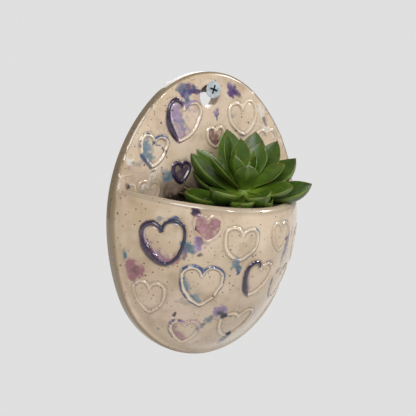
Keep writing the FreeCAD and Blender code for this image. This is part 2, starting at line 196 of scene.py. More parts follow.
POCKET_HEARTS = [
    (-0.715, -0.15, 1.24, 0.89, 5, PURPLE, NAVY, MAGENTA, 0.45, 1.4, 1),
    (-0.445, -0.03, 0.74, 0.5, -4, ROSE, CREAM, ROSE, 1.15, 0, 0.35),
    (-0.171, -0.155, 0.98, 0.66, -9, CREAM, STEEL, CREAM, 0, 0.15, 0.8),
    (-0.417, -0.452, 1.14, 0.92, -4, BLUE, BLUE, TEAL, 0.42, 0.6, 0.95),
    (0.05, -0.413, 0.94, 0.8, -11, PURPLE, VIOLET, LILAC, 0.25, 0.9, 0.9),
    (-0.715, -0.535, 0.9, 0.74, -7, CREAM, CREAM, CREAM, 0, 0.1, 0.75),
    (-0.369, -0.8, 0.8, 0.76, -3, VIOLET, PINK, ROSE, 0.55, 0.35, 0.8),
    (0.04, -0.765, 1.05, 0.86, 6, CREAM, CREAM, CREAM, 0, 0.15, 0.85),
    (0.29, -0.13, 0.84, 0.58, -1, CREAM, STEEL, CREAM, 0, 0.1, 0.6),
    (0.42, -0.49, 0.96, 0.76, 8, STEEL, STEEL, TEAL, 0.15, 0.1, 0.5),
    (0.69, -0.24, 1, 0.72, 6, CREAM, VIOLET, PINK, 0.3, 0.2, 0.4),
]

# Glaze drops: x and height over the widest line, length across and up, turn, colour, strength
SLAB_DROPS = [
    (-15, 70.5, 5, 3, 15, VIOLET, 1), (-19.5, 72.5, 3.4, 2.2, 25, BLUE, 1),
    (-14.8, 65.5, 1.7, 4.8, 5, STEEL, 0.95), (-8.5, 69.5, 4.6, 1.2, -8, VIOLET, 0.9),
    (-11.5, 71.8, 2.6, 1.2, 20, BLUE, 0.8), (15.6, 70.5, 3, 5, 15, VIOLET, 1),
    (18.5, 68, 5, 2, -20, VIOLET, 0.9), (5, 56.2, 1.2, 2.4, 0, BLUE, 0.9),
    (5, 58.5, 2, 1.6, 0, LILAC, 0.8), (40.6, 51.3, 1.4, 2.4, 20, BLUE, 0.8),
    (-28.6, 23, 4, 3.4, -20, TEAL, 0.9), (-31, 26, 2.6, 3.2, 0, STEEL, 0.75),
    (-54, 29, 1.2, 1.2, 0, VIOLET, 0.8), (-48, 26, 8, 5, 0, PINK, 0.55),
    (-53.9, 20.3, 1.4, 1.8, 0, NAVY, 0.9), (-25, 16, 6, 3, 0, ROSE, 0.4),
    (-23, 57, 4, 4, 0, BLUE, 0.8), (-20, 63, 2.6, 3, 0, NAVY, 0.7), (-40, 26, 9, 4, 0, CREAM, 0.3),
    (-34.5, 41.5, 1.8, 0.8, 0, BLUE, 0.9), (-31.3, 38, 0.8, 2.2, 10, BLUE, 0.9),
    (-37.9, 42.2, 0.9, 1.2, 0, BLUE, 0.9), (-38.2, 28.5, 1.5, 1.6, 0, BLUE, 0.9),
    (-41.5, 31.5, 1.2, 2.6, 25, STEEL, 0.8), (24, 44, 3, 2, 0, TEAL, 0.6),
    (-43, 36, 3, 2.4, 0, TEAL, 0.8), (-46, 33, 6, 1.4, 10, STEEL, 0.6),
]
POCKET_DROPS = [
    (-42, 4, 3.2, 2.2, 0, BLUE, 0.9), (-35.6, -11, 4.6, 2.8, -25, TEAL, 0.95),
    (-33, 8.6, 2.4, 2.4, 0, PURPLE, 1), (-31.8, -8.5, 2.6, 4.2, 10, LILAC, 1),
    (-30.4, -7, 3.4, 1.4, -20, VIOLET, 0.5), (-32.7, -0.7, 1.2, 1.6, 0, PURPLE, 1),
    (-30.2, -14.7, 1.3, 1.1, 0, PURPLE, 0.9), (-11, -22.4, 3.4, 2.6, 0, TEAL, 0.95),
    (-12.3, -19, 2, 2.4, 0, STEEL, 0.9), (-10, -25, 1.2, 1.8, 0, BLUE, 1),
    (-58.7, -17, 2.7, 4.2, 0, TEAL, 1), (-54.5, -25, 7.2, 5, -30, ROSE, 1),
    (-55.8, -31, 1.4, 1, 0, BLUE, 0.9), (-33.3, -49.4, 1.4, 1, 0, PURPLE, 0.9),
    (-36.9, -60.4, 2.6, 1, 0, BLUE, 0.8), (-11.9, -48.6, 5.6, 4, 15, LILAC, 1),
    (-9.4, -50.8, 4.2, 1.8, 0, NAVY, 1), (-15.5, -54, 3, 2.8, 0, STEEL, 0.9),
    (-17.5, -58.5, 3, 2, 20, TEAL, 0.9), (-4.5, -51.6, 2.2, 1, 0, TEAL, 0.9),
    (4, -68.6, 4.6, 4, 10, NAVY, 1), (15.8, -53, 1.6, 2.6, 0, LILAC, 0.8),
    (30, -65, 1.8, 1.2, 0, BLUE, 0.8), (26, -12, 2.4, 8, -12, VIOLET, 0.85),
    (24.4, -20, 2, 6, -8, BLUE, 0.8), (33, -8, 1.6, 5, -10, VIOLET, 0.7),
    (-41, -17, 3.6, 2.6, 30, ROSE, 0.8), (-37.5, -14.5, 1.6, 2.4, 0, VIOLET, 0.8),
    (-32, -43, 5, 2.4, -10, TEAL, 0.55), (-46.5, 4.4, 2.2, 1.2, 0, STEEL, 0.7),
    (44, -42, 3, 4, 20, TEAL, 0.8), (52, -14, 2, 3.4, 0, LILAC, 0.8),
    (41, -30, 1.6, 1.4, 0, PURPLE, 0.8), (-28, 4.5, 5, 3, 0, ROSE, 0.5),
]


def bulge_depth(x, z, less=0.0):
    inside = 1 - (x / (BULGE[0] - less)) ** 2 - ((z - WIDEST_Z) / (BULGE[2] - less)) ** 2
    return BULGE_Y - (BULGE[1] - less) * np.sqrt(np.maximum(inside, 0))


def bulge_normal(points):
    return unit((points - np.array([0, BULGE_Y, WIDEST_Z])) / BULGE ** 2)


def arc_gap(x, y, cx, cy, radius, first, last):
    near = np.clip(np.arctan2(y - cy, x - cx), first, last)
    return np.hypot(x - cx - radius * np.cos(near), y - cy - radius * np.sin(near))


# How far each point lies from a heart's line, and whether it is inside
def heart_field(x, y, half_width, drop):
    side_x = np.abs(x)
    lobe = half_width / 2
    side = (half_width ** 2 + drop ** 2) / (2 * half_width)
    top = drop / 2
    flank = half_width - side
    lobe_gap = arc_gap(side_x, y, lobe, top, lobe, 0, math.pi)
    side_gap = arc_gap(side_x, y, flank, top, side, -math.asin(min(drop / side, 1)), 0)
    in_lobe = (np.hypot(side_x - lobe, y - top) < lobe) & (y >= top)
    in_side = (y < top) & (np.hypot(side_x - flank, y - top) < side) & (y > top - drop)
    return np.minimum(lobe_gap, side_gap), in_lobe | in_side


def turned(x, y, degrees):
    c, s = math.cos(math.radians(degrees)), math.sin(math.radians(degrees))
    return x * c + y * s, y * c - x * s


# Colours drawn towards another colour by each point's share
def toward(base, target, share):
    return base + (np.asarray(target) - base) * share[:, None]


# The relief and the glaze colour that drops and hearts give to the points of a clay surface
class Coat:
    def __init__(self, points, curved):
        self.points, self.curved = points, curved
        self.relief, self.amount, self.line, self.shade = np.zeros((4, len(points)))
        self.colour = np.zeros((len(points), 3)) + np.array(TAN)
        self.wander = np.stack([grain(points, 5, seed) for seed in (3, 4)], 1) - 0.5
        ripple = np.stack([grain(points, 1.9, seed) for seed in (14, 15)], 1) - 0.5
        self.spread = self.wander * 2.6 + ripple * 2.2
        self.fine = grain(points, 1.6, 5) * 0.55 + grain(points, 3.5, 6) * 0.45
        self.coarse = grain(points, 7, 8)

    def seat(self, x, z):
        centre = np.array([x, FRONT_Y, z])
        if not self.curved:
            return centre, np.array([0.0, -1.0, 0.0])
        centre[1] = bulge_depth(x, z)
        return centre, bulge_normal(centre[None])[0]

    def drop(self, x, up, across, tall, turn, tint, strength):
        centre, normal = self.seat(x, WIDEST_Z + up)
        offset = self.points - centre
        slant = max(abs(normal[1]), 0.45)
        dx, dz = turned(
            offset[:, 0] / slant + self.spread[:, 0], offset[:, 2] + self.spread[:, 1], turn,
        )
        reach = np.hypot(dx / across, dz / tall)
        mask = strength * smooth(1.5 - reach + (self.fine - 0.5) * 0.7, 0.0, 0.75)
        mask = np.where(np.abs(offset[:, 1]) < DROP_DEPTH, mask, 0)
        deep = 1 - 0.45 * smooth(0.75 - reach + (self.coarse - 0.5) * 0.8, 0, 0.5)[:, None]
        self.colour = toward(self.colour, np.array(tint) * deep, mask)
        self.amount = np.maximum(self.amount, mask * (0.72 + 0.28 * smooth(self.fine, 0.3, 0.6)))

    def heart(
        self, crown, across, up, width, drop, turn, left, right, fill, fill_amount, wide, faint,
    ):
        centre, normal = self.seat(across * HALF_WIDTH, WIDEST_Z + up * crown)
        sideways = unit(np.cross([0, 0, 1], normal))
        offset = self.points - centre
        near = np.linalg.norm(offset, axis=1) < HEART * max(width, drop) * 0.9 + 5
        index = np.nonzero(near & (np.abs(offset @ normal) < HEART_DEPTH))[0]
        offset, fine, coarse = offset[index], self.fine[index], self.coarse[index]
        hx, hy = turned(offset @ sideways, offset @ np.cross(normal, sideways), turn)
        hx, hy = hx + self.wander[index, 0] * 0.9, hy + self.wander[index, 1] * 0.9
        half_width, tall = HEART * width / 2, HEART * drop
        gap, inside = heart_field(hx, hy, half_width, tall)
        leftness = smooth(-hx, -0.15 * half_width, 0.45 * half_width)
        lower = smooth(tall * 0.45 - hy, 0, tall * 0.5)

        # the ridge, wider at the lower left, with a groove on both sides
        half_ridge = RIDGE + 0.22 * (coarse - 0.5) + wide * 0.95 * leftness * (0.45 + 0.55 * lower)
        shift = np.where(inside, gap, -gap) - wide * 0.55 * leftness
        reach = np.abs(shift) / half_ridge
        profile = np.clip(1 - reach ** 2, 0, 1) ** 0.7
        groove = np.exp(-((np.abs(shift) - half_ridge - 0.38) / 0.36) ** 2)
        height = faint * ((0.85 + 0.28 * wide * leftness) * profile - 0.34 * groove)
        relief = self.relief[index]
        self.relief[index] = np.where(np.abs(height) > np.abs(relief), height, relief)
        self.shade[index] = np.maximum(self.shade[index], groove * 0.8 * faint)

        # the stain: dark colours cover the ridge, others keep to its outer flank
        tint = toward(np.array(right)[None], left, leftness)
        bold = np.where(leftness > 0.5, sum(left) < DARK, sum(right) < DARK)
        dyed = leftness * (sum(left) < PALE) + (1 - leftness) * (sum(right) < PALE)
        dyed *= 0.2 + 0.8 * smooth(fine * 0.6 + coarse * 0.4, 0.36, 0.56)
        flank = smooth(-shift, -0.3 * half_ridge, 0.5 * half_ridge) * smooth(1.7 - reach, 0, 0.4)
        cover = smooth(1.38 - reach + (fine - 0.5) * 0.3, 0, 0.35)
        crack = smooth(fine, 0.6, 0.8) * smooth(profile, 0.85, 1.0)
        stain = np.where(bold, cover * (1 - 0.15 * crack), np.maximum(groove * 0.5, flank) * dyed)
        stain = np.clip(stain * smooth(faint, 0, 0.7), 0, 1)
        colour = toward(self.colour[index], tint, stain)
        amount = np.maximum(self.amount[index], stain)
        self.line[index] = np.maximum(self.line[index], profile * (1 - 0.9 * bold) * faint)

        # the glaze that ran together inside
        pool = np.where(inside, smooth(gap, half_ridge * 0.6, half_ridge * 1.3), 0)
        lean = smooth(-hx - hy * (0.4 + 0.45 * wide), -0.75 * half_width, 0.7 * half_width)
        run = fill_amount * 1.1 + (lean - 0.5) * 0.8 + (fine - 0.5) * 0.5
        pour = pool * smooth(run, 0.30, 0.95) * (fill_amount > 0)
        pour *= 0.70 + 0.30 * smooth(fine, 0.35, 0.6)
        mottled = np.array(fill) * (0.42 + 0.55 * coarse + 0.65 * fine)[:, None]
        mottled = toward(mottled, ASH, smooth(fine, 0.35, 0.8) * 0.28)
        if wide > 0.9:
            mottled = toward(mottled, left, smooth(coarse, 0.5, 0.72) * 0.55)
            cusp = np.hypot(hx - 0.2 * half_width, hy - tall / 2 + 0.5 * half_width)
            mottled = toward(mottled, STEEL, np.exp(-(cusp / (0.42 * half_width)) ** 2) * 0.9)
            # a painted highlight: a pale streak inside the wide left limb
            highlight_streak = np.exp(-((gap - half_ridge * 1.75) / 0.45) ** 2) * leftness * inside
            highlight_streak *= smooth(fine, 0.2, 0.5)
            mottled = toward(mottled, STREAK_HIGHLIGHT, highlight_streak)
            pour = np.maximum(pour, highlight_streak * 0.8)
        limb = smooth(half_ridge * 1.6 - gap, 0, half_ridge * 0.6) * leftness * (wide > 0.4)
        mottled = toward(mottled, left, limb * 0.75)
        self.colour[index] = toward(colour, mottled, pour)
        self.amount[index] = np.maximum(amount, pour * 0.9)

    # Squiggly wrinkles raised on both sides of the slab, their milk-white colour a painted
    # highlight
    def wrinkles_and_glints(self):
        points = self.points
        patchy = smooth(grain(points, 10, 42), 0.34, 0.5) * smooth(np.abs(points[:, 0] + 2), 26, 38)
        patchy *= smooth(points[:, 2], RIM_Z + 1, RIM_Z + 6) * (1 - smooth(self.line, 0, 0.3))
        wrinkle_and_glint = np.exp(-((grain(points, 4.5, 41) - 0.5) / 0.075) ** 2) * patchy
        self.relief += 0.32 * wrinkle_and_glint
        # painted highlight along the raised wrinkles
        self.colour = toward(self.colour, GLINT_WHITE, wrinkle_and_glint * (self.amount < 0.3))
        self.amount = np.maximum(self.amount, wrinkle_and_glint * 0.8)


def decorate(points, hearts, drops, crown, curved):
    coat = Coat(points, curved)
    for drop in drops:
        coat.drop(*drop)
    for heart in hearts:
        coat.heart(crown, *heart)
    return coat


def undulation(points):
    broad = (grain(points, 26, 11) - 0.5) * 0.9 + (grain(points, 11, 12) - 0.5) * 0.34
    return broad + (grain(points, 4.5, 13) - 0.5) * 0.26


# Hand-made unevenness of the slab's front, which falls away a little towards the edge
def slab_rise(points):
    inward = -outline_distance(points[:, 0], points[:, 2] - WIDEST_Z)
    return undulation(points) * 0.5 * smooth(inward, 0.2, 5) - 0.9 * (1 - smooth(inward, 1.5, 13))


# How far the slab's rounded edge lies behind its flat front, as a negative height
def slab_height(x, z):
    inner = np.clip(outline_distance(x, z - WIDEST_Z) + FRONT_ROUND, 0, FRONT_ROUND)
    return -(FRONT_ROUND - np.sqrt(np.maximum(FRONT_ROUND ** 2 - inner ** 2, 0)))


def add_object(name, data):
    made = bpy.data.objects.new(name, data)
    bpy.context.scene.collection.objects.link(made)
    return made


# One visual piece, with a value or a colour for each point in every layer
def make_object(name, points, faces, body, material, layers=None, replaced=()):
    mesh = bpy.data.meshes.new(name)
    mesh.from_pydata((np.asarray(points) * MM).tolist(), [], faces)
    mesh.validate()
    shell = bmesh.new()
    shell.from_mesh(mesh)
    bmesh.ops.recalc_face_normals(shell, faces=shell.faces)
    shell.to_mesh(mesh)
    shell.free()
    mesh.shade_smooth()
    for layer, values in (layers or {}).items():
        values = np.asarray(values, np.float32)
        kind, field = "FLOAT", "value"
        if values.ndim == 2:
            kind, field = "FLOAT_COLOR", "color"
            values = np.column_stack([values, np.ones(len(values), np.float32)])
        mesh.attributes.new(layer, kind, "POINT").data.foreach_set(field, values.ravel())
    mesh.materials.append(material)
    obj = add_object(name, mesh)
    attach(obj, body)
    if replaced:
        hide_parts(*replaced)


# Quads between rows of points of equal count; either way round can be closed
def skin(rows, columns, closed=False, looped=False):
    faces = []
    for row in range(rows if looped else rows - 1):
        one, two = row * columns, (row + 1) % rows * columns
        for column in range(columns if closed else columns - 1):
            following = (column + 1) % columns
            faces.append((one + column, one + following, two + following, two + column))
    return faces


# A sheet of points and its underside, closed along every open edge
def close_sheet(top, bottom, faces):
    count = len(top)
    closed = faces + [tuple(count + i for i in reversed(face)) for face in faces]
    sides = dict.fromkeys((a, b) for face in faces for a, b in zip(face, face[1:] + face[:1]))
    closed += [(b, a, count + a, count + b) for a, b in sides if (b, a) not in sides]
    return np.concatenate([np.array(top), np.array(bottom)]), closed


# A flat region between the outline and the hole, filled with even triangles
def fill_region(outer, hole, spacing):
    low, high = outer.min(0), outer.max(0)
    rows = []
    for index, z in enumerate(np.arange(low[1], high[1], spacing * math.sqrt(0.75))):
        xs = np.arange(low[0] + (spacing / 2 if index % 2 else 0), high[0], spacing)
        rows.append(np.stack([xs, np.full(len(xs), z)], 1))
    grid = np.concatenate(rows)
    clear = spacing * 0.55
    centre = hole.mean(0)
    hole_radius = np.linalg.norm(hole[0] - centre)
    edge = outline_distance(outer[:1, 0], outer[:1, 1])[0]
    keep = outline_distance(grid[:, 0], grid[:, 1]) < edge - clear
    keep &= np.linalg.norm(grid - centre, axis=1) > hole_radius + clear
    flat = np.concatenate([outer, hole, grid[keep]])
    count, around = len(outer), len(hole)
    edges = [(i, (i + 1) % count) for i in range(count)]
    edges += [(count + i, count + (i + 1) % around) for i in range(around)]
    vectors = [Vector(point) for point in flat.tolist()]
    found = delaunay_2d_cdt(vectors, edges, [list(range(count))], 1, 1e-5)
    points = np.array(found[0])
    away = [np.linalg.norm(points[face].mean(0) - centre) for face in found[2]]
    faces = [tuple(face) for face, gap in zip(found[2], away) if gap > hole_radius * 0.999]
    order = {old: new for new, olds in enumerate(found[3]) for old in olds}
    loops = [order[i] for i in range(count + around)]
    return points, faces, loops[:count], loops[count:]


# Rounded front corner, plain side and rounded back corner, as offsets outwards and depths
def side_profile(front_round, back_round, sign):
    front, back = np.linspace(0, math.pi / 2, 8)[1:], np.linspace(math.pi / 2, 0, 5)[:-1]
    plain = THICKNESS - front_round - back_round
    offsets = [*front_round * (np.sin(front) - 1), 0, 0, *back_round * (np.sin(back) - 1)]
    depths = [
        *front_round * (1 - np.cos(front)), front_round + 0.33 * plain, front_round + 0.66 * plain,
        *THICKNESS - back_round * (1 - np.cos(back)),
    ]
    return [(sign * offset, FRONT_Y + depth) for offset, depth in zip(offsets, depths)]


def make_slab(material):
    edge, normals = outline_points(0.5)
    ring = fan(0, 2 * math.pi, int(2 * math.pi * (HOLE_RADIUS + HOLE_ROUND) / 0.45))
    hole_centre = np.array([0, HOLE_Z - WIDEST_Z])
    points, faces = [], []

    def add(flat, y):
        start = len(points)
        points.extend((x, y, z + WIDEST_Z) for x, z in flat)
        return start

    def add_face(inset, y, spacing, flip):
        hole = hole_centre + ring * (HOLE_RADIUS + HOLE_ROUND)
        flat, found, outer, inner = fill_region(edge - normals * inset, hole, spacing)
        start = add(flat, y)
        for face in found:
            faces.append(tuple(start + i for i in (face[::-1] if flip else face)))
        return [start + i for i in outer], [start + i for i in inner]

    def add_side(first, last, base, outward, profile, flip):
        loops = [first]
        for offset, y in profile:
            start = add(base + outward * offset, y)
            loops.append([start + i for i in range(len(base))])
        loops.append(last)
        for one, two in zip(loops, loops[1:]):
            quads = zip(one, one[1:] + one[:1], two[1:] + two[:1], two)
            faces.extend(quad[::-1] if flip else quad for quad in quads)

    front_edge, front_hole = add_face(FRONT_ROUND, FRONT_Y, 0.46, False)
    back_edge, back_hole = add_face(BACK_ROUND, 0.0, 3.0, True)
    profile = side_profile(FRONT_ROUND, BACK_ROUND, 1)
    add_side(front_edge, back_edge, edge, normals, profile, False)
    profile = side_profile(HOLE_ROUND, HOLE_ROUND, -1)
    add_side(front_hole, back_hole, hole_centre + ring * HOLE_RADIUS, ring, profile, True)

    points = np.array(points, float)
    coat = decorate(points, SLAB_HEARTS, SLAB_DROPS, SLAB_CROWN, False)
    coat.wrinkles_and_glints()
    facing = smooth(FRONT_Y + 3.2 - points[:, 1], 0, 2.6)
    hole_gap = np.hypot(points[:, 0], points[:, 2] - HOLE_Z) - HOLE_RADIUS
    points[:, 1] -= (coat.relief + slab_rise(points)) * facing * smooth(hole_gap, 0.2, 3)
    facing = smooth(FRONT_Y + 1.5 - points[:, 1], 0, 1.3)
    x = points[:, 0]
    # Painted shadow of the plant on the slab's front: dark below the rim, and reaching higher above
    # it near the plant
    level = rim_height(np.clip(x, -60, 60), FRONT_Y) - points[:, 2]
    level += (grain(points, 5, 16) - 0.5) * 5
    plant_shadow = smooth(level, -3 - 12 * smooth(x, -44, -22), 2) * facing
    plant_shadow *= smooth(x, -38, -27) * smooth(58 - x, 0, 22)
    layers = {
        "tint": coat.colour, "amount": coat.amount * facing, "line": coat.line * facing,
        "shade": coat.shade * facing, "seam_shade": pocket_seam_shade(points), "side": on_side(points),
        "plant_shadow": plant_shadow,
    }
    make_object(
        "slab_glazed", points, faces, "vase", material, layers, ["back_slab"],
    )


# The rim: a sagging edge that falls a little to the right and to the front
def rim_height(x, y):
    sag = SAG_RADIUS - np.sqrt(SAG_RADIUS ** 2 - (x - SAG_MIDDLE) ** 2)
    return RIM_Z + sag / SAG_TILT + FRONT_FALL * (y - FRONT_Y)


# A curve's points at even steps, from a given length on
def resample(curve, count, start=0.0):
    length = np.concatenate([[0], np.cumsum(np.linalg.norm(np.diff(curve, axis=0), axis=1))])
    where = np.linspace(min(start, length[-1] * 0.9), length[-1], count)
    return np.stack([np.interp(where, length, curve[:, axis]) for axis in range(3)], 1)


def resample_all(curves, count, start=0.0):
    return np.stack([resample(curve, count, start) for curve in curves])


# Square of the share of the bulge's depth at which the slab's front cuts it
def cap_square(less):
    return (FLATNESS * BULGE[1] / (BULGE[1] - less)) ** 2


def rim_curve(less, count):
    widest = np.array([-1, 1]) * (BULGE[0] - less)
    left_right = widest
    for _ in range(40):
        up = (rim_height(left_right, FRONT_Y) - WIDEST_Z) / (BULGE[2] - less)
        left_right = widest * np.sqrt(np.maximum(1 - up ** 2 - cap_square(less), 0))
    left, right = left_right
    xs = (left + right) / 2 + (right - left) / 2 * np.cos(np.linspace(math.pi, 0, 4001))
    y = np.full(len(xs), FRONT_Y)
    for _ in range(60):
        y = np.minimum(bulge_depth(xs, rim_height(xs, y), less), FRONT_Y)
    return resample(np.stack([xs, y, rim_height(xs, y)], 1), count)


def contact_curve(less, left, right, count):
    a, c = ((BULGE[axis] - less) * math.sqrt(1 - cap_square(less)) for axis in (0, 2))
    start = math.pi - math.asin((left[2] - WIDEST_Z) / c)
    stop = 2 * math.pi + math.asin((right[2] - WIDEST_Z) / c)
    turns = np.linspace(start, stop, 4001)
    curve = [a * np.cos(turns), np.full(len(turns), FRONT_Y), WIDEST_Z + c * np.sin(turns)]
    return resample(np.stack(curve, 1), count)


# How near a point of the clay is to the line where the pocket meets the slab, for the painted shade
# in that crease
def pocket_seam_shade(points):
    across = points[:, 0] / (SECTION * BULGE[0])
    up = (points[:, 2] - WIDEST_Z) / (SECTION * BULGE[2])
    gap = (np.hypot(across, up) - 1) * 65
    level = points[:, 2] < rim_height(np.clip(points[:, 0], -60, 60), FRONT_Y) + 1.5
    near = smooth(FLARE_REACH - np.abs(gap), 0, FLARE_REACH)
    return near * level * smooth(FRONT_Y + 1.5 - points[:, 1], 0, 1)


# Straight rows from the rim to the contact line, lifted to the bowl and evenly spaced
def bowl_rows(rim, contact, less, count):
    shares = np.linspace(0, 1, 161)[None, :, None]
    across = rim[:, None, [0, 2]] * (1 - shares) + contact[:, None, [0, 2]] * shares
    y = np.minimum(bulge_depth(across[..., 0], across[..., 1], less), FRONT_Y)
    full = np.stack([across[..., 0], y, across[..., 1]], -1)
    full[:, 0] = rim
    full[:, -1] = contact
    return resample_all(full, count)


# A point of the quarter round between two sides that meet at a corner
def round_corner(corner, one, two, share):
    first, middle, last = (1 - share) ** 2, 1.414 * share * (1 - share), share ** 2
    return (one * first + corner * middle + two * last) / (first + middle + last)


# How much a soft fillet adds where two heights meet
def fillet(one, two, fade):
    return np.maximum(FILLET - np.abs(one - two), 0) ** 2 / (4 * FILLET) * fade


def make_pocket(material):
    across, down, inner_down = 520, 250, 60
    rim_out, rim_in = rim_curve(0, across), rim_curve(WALL, across)
    contact_out = contact_curve(0, rim_out[0], rim_out[-1], across)
    contact_in = contact_curve(WALL, rim_in[0], rim_in[-1], across)
    outside = bowl_rows(rim_out, contact_out, 0, down)
    inside = bowl_rows(rim_in, contact_in, WALL, inner_down)
    column = np.arange(across)
    fade = smooth(np.minimum(column, across - 1 - column) / across, 0.0, 0.03)

    # the lip, from the outside over the rim to the inside, with both corners rounded
    ahead = resample_all(outside[:, :24], 24)[:, 6]
    steep = np.array([0, 0, -1.0]) * (1 - fade[:, None])
    down_out = unit(ahead - rim_out) * fade[:, None] + steep
    down_in = unit(inside[:, 1] - rim_in) * fade[:, None] + steep
    inward = unit(rim_in - rim_out)
    shares = np.linspace(0, 1, 9)
    lip = []
    for corner, before, after, steps in (
        (rim_out, down_out, inward, shares[1:]), (rim_in, -inward, down_in, shares),
    ):
        one, two = corner + before * LIP_ROUND, corner + after * LIP_ROUND
        lip += [round_corner(corner, one, two, share) for share in steps]
    outside = resample_all(outside, down, LIP_ROUND)
    inside = resample_all(inside, inner_down, LIP_ROUND)

    # the outside with its decoration
    flat = outside.reshape(-1, 3)
    coat = decorate(flat, POCKET_HEARTS, POCKET_DROPS, SLAB_FOOT, True)
    edge = smooth(FRONT_Y - flat[:, 1], 0.5, 4)
    lip_gap = smooth(rim_height(flat[:, 0], flat[:, 1]) - flat[:, 2], 1.0, 5)
    rise = (coat.relief + undulation(flat) * 0.55 * lip_gap) * edge
    outside = (flat + bulge_normal(flat) * rise[:, None]).reshape(across, down, 3)

    # the foot, where clay fills the corner between the bowl and the slab
    base = slab_rise(outside.reshape(-1, 3)).reshape(across, down)
    outside[:, :, 1] -= fillet(FRONT_Y - outside[:, :, 1], base, fade[:, None])
    outward = unit((contact_out[:, [0, 2]] - np.array([0, WIDEST_Z])) / BULGE[[0, 2]] ** 2)
    flare = []
    for reach in (0.4, 0.8, 1.2, 1.6, 2.0, 2.4, FLARE_REACH):
        at = contact_out[:, [0, 2]] + outward * reach * fade[:, None]
        level = np.stack([at[:, 0], np.full(across, FRONT_Y), at[:, 1]], 1)
        ground = slab_height(at[:, 0], at[:, 1]) + slab_rise(level)
        bowl = -FLARE_SLOPE * reach * fade
        top = np.maximum(bowl, ground) + fillet(bowl, ground, fade)
        if reach == FLARE_REACH:
            top = ground - 0.25
        level[:, 1] = FRONT_Y - top
        flare.append(level)

    # one closed loop of rows, and a cap at each end that is sunk into the slab
    first = len(lip)
    loop = lip[::-1] + [outside[:, i] for i in range(down)] + flare
    loop += [contact_out + np.array([0, 1.7, 0]), contact_in + np.array([0, 0.8, 0])]
    loop = np.stack(loop + [inside[:, i] for i in range(inner_down - 1, 0, -1)])
    ends = loop[:, [0, -1]]
    ends[:, :, 1] = np.maximum(ends[:, :, 1], FRONT_Y) + 0.7
    grid = np.concatenate([ends[:, :1], loop, ends[:, 1:]], 1)
    rows, columns = grid.shape[:2]
    points = grid.reshape(-1, 3)
    faces = skin(rows, columns, looped=True)
    faces.append(tuple(row * columns for row in range(rows)))
    faces.append(tuple(row * columns + columns - 1 for row in range(rows - 1, -1, -1)))
    layers = {"seam_shade": pocket_seam_shade(points)}
    layers["side"] = on_side(points) * smooth(points[:, 1], FRONT_Y - 2.5, FRONT_Y - 1)
    for name, values, plain in (
        ("tint", coat.colour, TAN), ("amount", coat.amount * edge, 0),
        ("line", coat.line * edge, 0), ("shade", coat.shade * edge, 0),
    ):
        shape = values.shape[1:]
        full = np.zeros((rows, columns) + shape) + np.array(plain)
        full[first:first + down, 1:-1] = values.reshape((across, down) + shape).swapaxes(0, 1)
        layers[name] = full.reshape((-1,) + shape)
    # painted shade on the rim's lip, fading out over the first rows of the outside
    lip_shade = np.zeros((rows, columns))
    lip_shade[:first] = 1
    lip_shade[first:first + 6] = np.linspace(1, 0, 6)[:, None]
    layers["lip"] = lip_shade.ravel()
    make_object(
        "pocket_glazed", points, faces, "vase", material, layers, ["pocket_wall"],
    )


# Leaves: fleshy blades along an upward bent spine, keeled below and flatter above
LEAF_LENGTH = 0.73 * REACH
LEAF_WIDTH = 0.441 * LEAF_LENGTH
LEAF_THICKNESS = 0.267 * LEAF_WIDTH
LEAF_BEND = 14

# Place along the blade, and breadth and thickness there as shares of the whole
LEAF_SHAPE = [
    (0, 0.36, 0.5), (0.1, 0.42, 0.58), (0.2, 0.54, 0.68), (0.32, 0.73, 0.82), (0.45, 0.91, 0.95),
    (0.56, 1, 1), (0.66, 0.99, 0.96), (0.75, 0.89, 0.88), (0.83, 0.71, 0.74), (0.9, 0.48, 0.55),
    (0.95, 0.27, 0.34), (0.98, 0.12, 0.17), (1, 0.03, 0.05),
]

# Azimuth and rise in degrees, length and width as shares, and height on the stem's crown
LEAF_ROWS = [
    (-174, -2, 0.79, 0.8, 0.02), (-83, -1, 0.48, 0.8, 0.02), (-132, -1, 0.61, 0.93, 0.08),
    (146, 29, 0.8, 0.7, 0.17), (179, 7, 1.05, 0.98, 0.13), (-33, 11, 1, 1, 0.13),
    (-9, 32, 1, 1, 0.22), (168, 39, 1.06, 0.76, 0.27), (-96, 2, 0.55, 0.93, 0.21),
    (-156, 9, 0.9, 0.9, 0.24), (-60, 7, 0.76, 0.93, 0.33), (91, 71, 1.05, 0.93, 0.27),
    (144, 44, 0.93, 0.9, 0.37), (37, 55, 1.04, 0.93, 0.43), (12, 46, 1.05, 0.93, 0.32),
    (-34, 34, 0.69, 0.8, 0.43), (-173, 38, 0.85, 0.8, 0.46), (134, 77, 0.88, 0.75, 0.47),
    (79, 86, 0.71, 0.7, 0.6), (15, 61, 0.72, 0.8, 0.57), (-117, 62, 0.47, 0.77, 0.41),
    (-161, 69, 0.52, 0.62, 0.56), (157, 81, 0.53, 0.5, 0.67), (-33, 74, 0.42, 0.53, 0.66),
    (23, 62, 0.5, 0.38, 0.72), (150, 85, 0.31, 0.33, 0.84), (-60, 78, 0.22, 0.33, 0.88),
    (30, 87, 0.22, 0.27, 0.94),
]

# The stem's crown: radius at its foot and top, and its length
CROWN_FOOT, CROWN_TOP, CROWN_LENGTH = 5.4, 1.2, 16.0

# The way the blades face, how much wider they are than their solids, and how far they reach into
# the stem
LEAN = Vector((-0.24, -0.32, 0.91))
WIDER = 1.12
ROOT = 1.5


def leaf_turn(azimuth, rise):
    upward = Matrix.Rotation(-math.radians(rise), 3, "Y")
    return Matrix.Rotation(math.radians(azimuth), 3, "Z") @ upward


# How far a leaf is rolled about its spine so that its face looks along LEAN
def leaf_roll(turn):
    spine, facing = turn @ Vector((1, 0, 0)), turn @ Vector((0, 0, 1))
    wanted = LEAN - spine * LEAN.dot(spine)
    roll = math.atan2(spine.dot(facing.cross(wanted)), facing.dot(wanted))
    roll = max(-0.6, min(0.6, roll)) * float(smooth(wanted.length, 0.25, 0.7))
    return Matrix.Rotation(roll, 3, spine)


